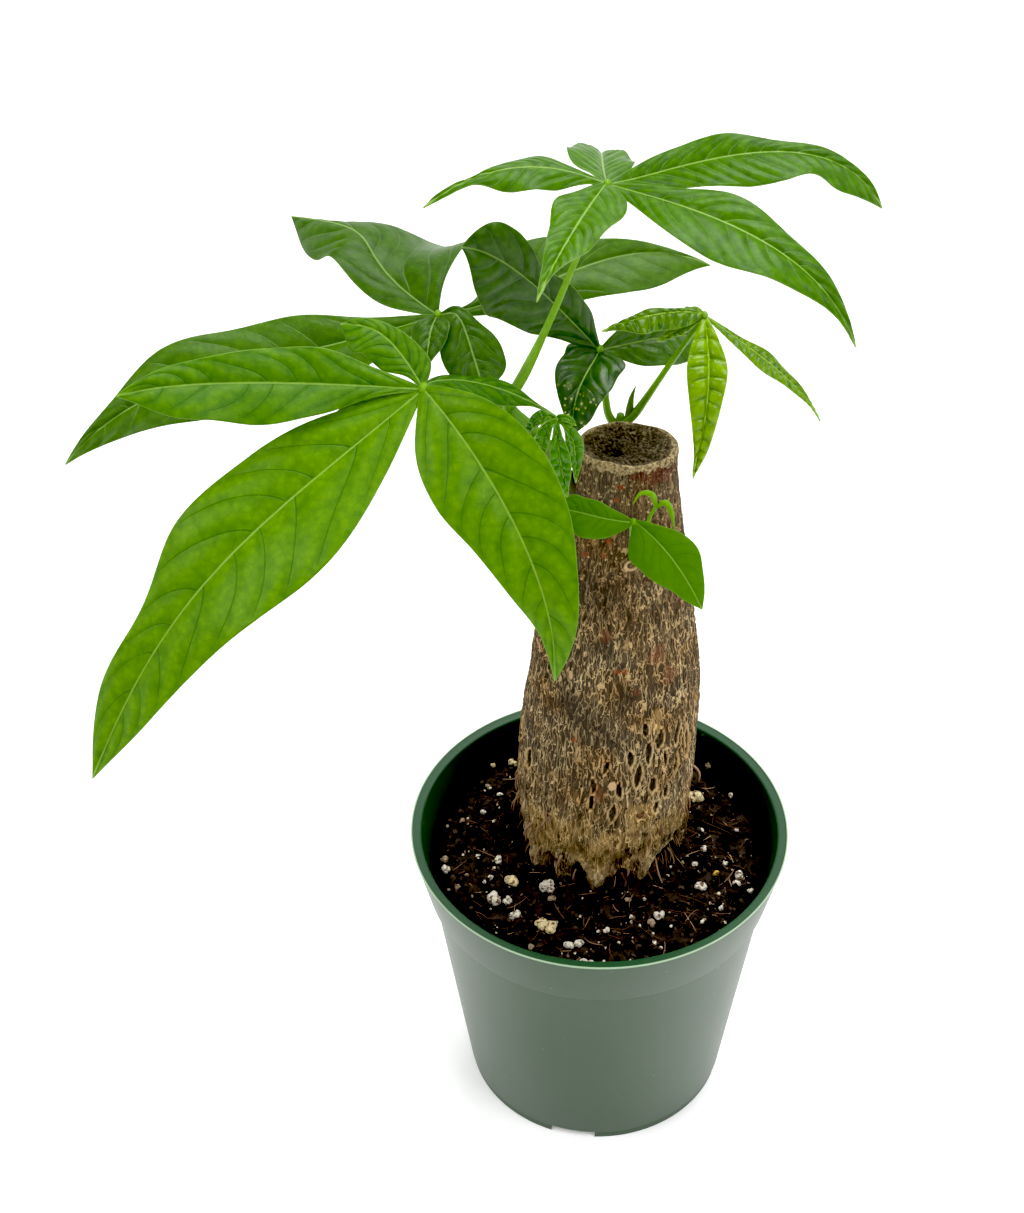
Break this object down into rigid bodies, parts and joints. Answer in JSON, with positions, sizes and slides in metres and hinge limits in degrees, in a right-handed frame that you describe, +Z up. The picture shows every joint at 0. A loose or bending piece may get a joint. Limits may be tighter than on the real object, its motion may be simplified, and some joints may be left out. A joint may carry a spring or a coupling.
{
  "type": "potted money tree",
  "caption": "Small potted money tree: thick bottle-shaped stump with a sawn top, new shoots with palmate compound leaves, in a tapered nursery pot filled with potting mix.",
  "frame": {"origin": "centre of the pot's underside, on the surface it stands on", "axes": "+Z up along the stump, the viewer stands at -Y, +X to the viewer's right"},
  "size_m": [0.2092, 0.1353, 0.3265],
  "materials": {
    "pot_plastic": "injection-moulded, satin green, lightly scuffed",
    "potting_mix": "damp dark peat with white perlite grains",
    "bark": "rough netted bark, sawn and healed top",
    "shoot": "green young stem",
    "leaf": "satin mid-green leaf with pale veins",
    "dark_leaf": "satin dark-green leaf with pale veins",
    "young_leaf": "glossy yellow-green young leaf"
  },
  "bodies": {
    "root": {"pot": "pot_plastic", "soil": "potting_mix", "trunk": "bark", "left_shoot": "shoot", "back_shoot": "shoot", "leaf_a": "leaf", "leaf_b": "leaf", "leaf_c": "leaf", "leaf_d": "dark_leaf", "leaf_e": "young_leaf", "leaf_f": "young_leaf", "front_sprout": "leaf"}
  },
  "joints": []
}
